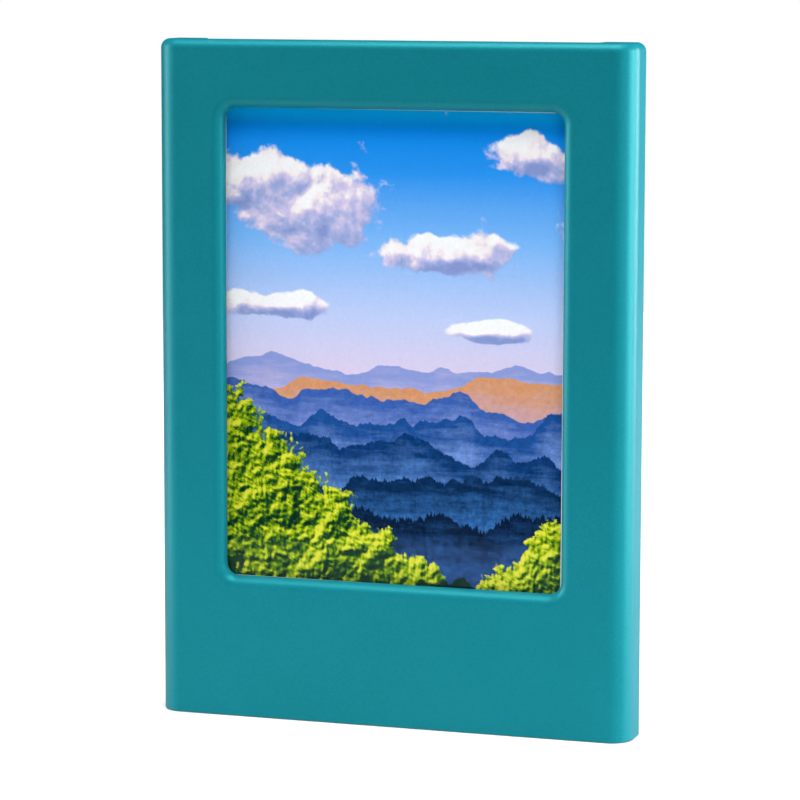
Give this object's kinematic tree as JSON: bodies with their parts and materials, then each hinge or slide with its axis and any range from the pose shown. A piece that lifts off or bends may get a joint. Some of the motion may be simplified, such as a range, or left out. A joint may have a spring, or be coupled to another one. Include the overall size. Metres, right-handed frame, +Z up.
{
  "type": "magnetic photo frame",
  "caption": "Small upright moulded photo frame with a rounded window, disc magnets in its back and a print that slides out of a slot in the top.",
  "frame": {"origin": "middle of the underside, halfway between the front face and the back", "axes": "+Z up, -Y out of the picture side, +Y out of the magnetic back, +X to the right seen from the front"},
  "size_m": [0.065, 0.006, 0.09],
  "materials": {
    "frame_plastic": "teal ABS, moulded with a very fine satin texture",
    "cover_plastic": "teal ABS, moulded, slightly coarser satin texture",
    "clear_sheet": "clear glossy polyester sheet",
    "tape": "white double-sided film tape",
    "print_card": "glossy white card with a landscape picture, matt dark back",
    "magnet_plating": "bright nickel plating",
    "foam": "dark closed-cell foam"
  },
  "bodies": {
    "frame": {"front_frame": "frame_plastic", "window_tape": "tape", "window_sheet": "clear_sheet", "back_cover": "cover_plastic", "upper_pad": "foam", "lower_pad": "foam", "magnet_top_left": "magnet_plating", "magnet_top_right": "magnet_plating", "magnet_bottom_left": "magnet_plating", "magnet_bottom_right": "magnet_plating"},
    "print": {"photo_print": "print_card"}
  },
  "joints": [
    {"name": "print_slide", "type": "slide", "parent": "frame", "child": "print", "axis": [0, 0, 1], "range_m": [0, 0.092]}
  ]
}
